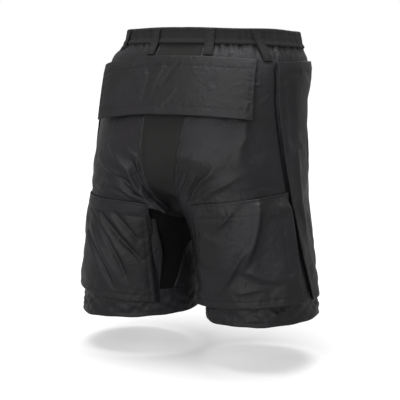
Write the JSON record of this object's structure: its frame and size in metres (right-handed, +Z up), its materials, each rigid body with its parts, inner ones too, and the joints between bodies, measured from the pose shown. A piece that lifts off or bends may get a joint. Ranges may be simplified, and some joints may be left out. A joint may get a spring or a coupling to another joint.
{
  "type": "ice hockey pants",
  "caption": "Dark padded ice hockey pants in their worn shape: elastic waist with belt loops, stretch gusset, and pad pockets on the small of the back, hips and thighs.",
  "frame": {"origin": "middle of the waist, halfway up the waistband, where a wearer's waist holds the pants up", "axes": "+Z up along the wearer's back, +Y towards the seat, so the wearer faces -Y, and +X towards the left leg"},
  "size_m": [0.4626, 0.2904, 0.52],
  "materials": {
    "nylon": "smooth woven nylon",
    "knit": "matte stretch knit",
    "elastic": "ribbed elastic tape"
  },
  "bodies": {
    "root": {"waistband": "elastic", "gusset": "knit", "back_pocket": "nylon", "belt_loop_back_left": "elastic", "belt_loop_back_right": "elastic", "belt_loop_side_left": "elastic", "belt_loop_side_right": "elastic", "seat_panel_left": "nylon", "seat_panel_right": "nylon", "front_panel_left": "nylon", "front_panel_right": "nylon", "inside_leg_left": "knit", "inside_leg_right": "knit", "thigh_pocket_left": "nylon", "thigh_pocket_right": "nylon", "hip_pocket_left": "nylon", "hip_pocket_right": "nylon", "leg_hem_left": "nylon", "leg_hem_right": "nylon"}
  },
  "joints": []
}
